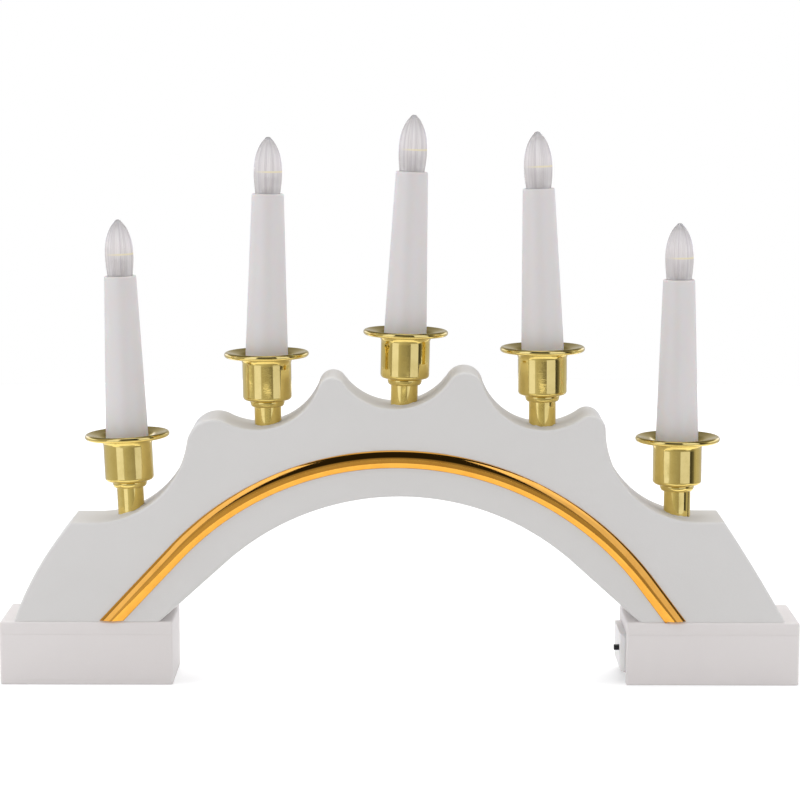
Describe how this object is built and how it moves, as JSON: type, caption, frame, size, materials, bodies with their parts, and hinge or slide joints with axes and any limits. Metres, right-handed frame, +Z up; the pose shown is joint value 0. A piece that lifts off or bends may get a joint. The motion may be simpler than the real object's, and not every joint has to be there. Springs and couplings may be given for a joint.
{
  "type": "candle arch",
  "caption": "White wooden candle arch on two hollow blocks, with brass cups, plastic candles and flame-shaped lamps, lit by a battery case in one block.",
  "frame": {"origin": "middle of the arch's overall box, on the surface it stands on", "axes": "+Z up, +X along the row of candles towards the battery block, +Y towards the back, away from the brass strip"},
  "size_m": [0.3996, 0.0468, 0.2838],
  "materials": {
    "white_paint": "satin white paint over wood",
    "brass_strip": "bright brass strip",
    "polished_brass": "polished",
    "candle_plastic": "satin white",
    "clear_plastic": "clear, fluted",
    "lamp_resin": "warm clear resin",
    "case_plastic": "white moulded",
    "cell_sleeve": "printed sleeve, plain",
    "steel": "zinc plated",
    "black_plastic": "moulded",
    "cable": "insulated pair"
  },
  "bodies": {
    "arch": {"arch_board": "white_paint", "channel_cover": "white_paint", "gold_strip": "brass_strip", "wiring": "cable", "left_top_plate": "white_paint", "left_front_plate": "white_paint", "left_back_plate": "white_paint", "left_outer_end": "white_paint", "right_top_plate": "white_paint", "right_front_plate": "white_paint", "right_back_plate": "white_paint", "right_outer_end": "white_paint", "left_inner_end": "white_paint", "board_screw_1": "steel", "board_screw_2": "steel", "board_screw_3": "steel", "board_screw_4": "steel", "cup_1": "polished_brass", "stem_1": "polished_brass", "candle_1": "candle_plastic", "flame_cap_1": "clear_plastic", "lamp_1": "lamp_resin", "cup_2": "polished_brass", "stem_2": "polished_brass", "candle_2": "candle_plastic", "flame_cap_2": "clear_plastic", "lamp_2": "lamp_resin", "cup_3": "polished_brass", "stem_3": "polished_brass", "candle_3": "candle_plastic", "flame_cap_3": "clear_plastic", "lamp_3": "lamp_resin", "cup_4": "polished_brass", "stem_4": "polished_brass", "candle_4": "candle_plastic", "flame_cap_4": "clear_plastic", "lamp_4": "lamp_resin", "cup_5": "polished_brass", "stem_5": "polished_brass", "candle_5": "candle_plastic", "flame_cap_5": "clear_plastic", "lamp_5": "lamp_resin", "battery_case": "case_plastic", "battery_1": "cell_sleeve", "battery_2": "cell_sleeve", "contact_negative": "steel", "contact_positive": "steel", "contact_bridge": "steel", "switch_body": "steel", "case_screw_1": "steel", "case_screw_2": "steel"},
    "door": {"battery_door": "case_plastic"},
    "knob": {"switch_knob": "black_plastic"}
  },
  "joints": [
    {"name": "door_slide", "type": "slide", "parent": "arch", "child": "door", "axis": [-1, 0, 0], "range_m": [0, 0.06]},
    {"name": "switch_slide", "type": "slide", "parent": "arch", "child": "knob", "axis": [0, 1, 0], "range_m": [0, 0.0024]}
  ]
}
